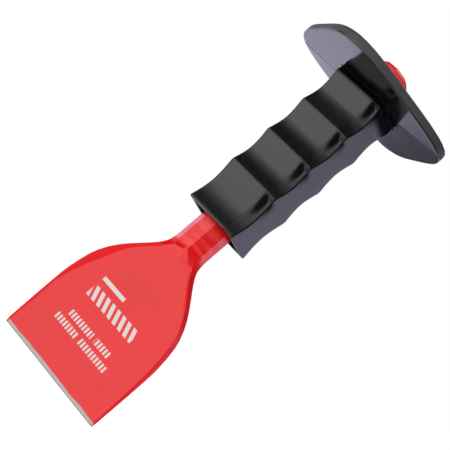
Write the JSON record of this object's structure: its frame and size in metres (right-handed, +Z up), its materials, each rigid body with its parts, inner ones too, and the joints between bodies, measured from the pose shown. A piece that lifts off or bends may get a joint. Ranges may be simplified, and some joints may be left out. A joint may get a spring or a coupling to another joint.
{
  "type": "brick bolster",
  "caption": "Wide-bladed forged steel brick bolster with an octagonal shank in a moulded sleeve grip with a broad square hand guard.",
  "frame": {"origin": "centre of the cutting edge, at its lowest point", "axes": "+Z up the tool's axis from the cutting edge to the striking face, X along the blade's width, Y through its thickness"},
  "size_m": [0.1008, 0.1008, 0.225],
  "materials": {
    "painted_steel": "gloss red enamel on forged steel, bare along the ground cutting edge",
    "grip_plastic": "semi-gloss dark grey moulded PVC"
  },
  "bodies": {
    "root": {"chisel_body": "painted_steel", "guard_grip": "grip_plastic"}
  },
  "joints": []
}
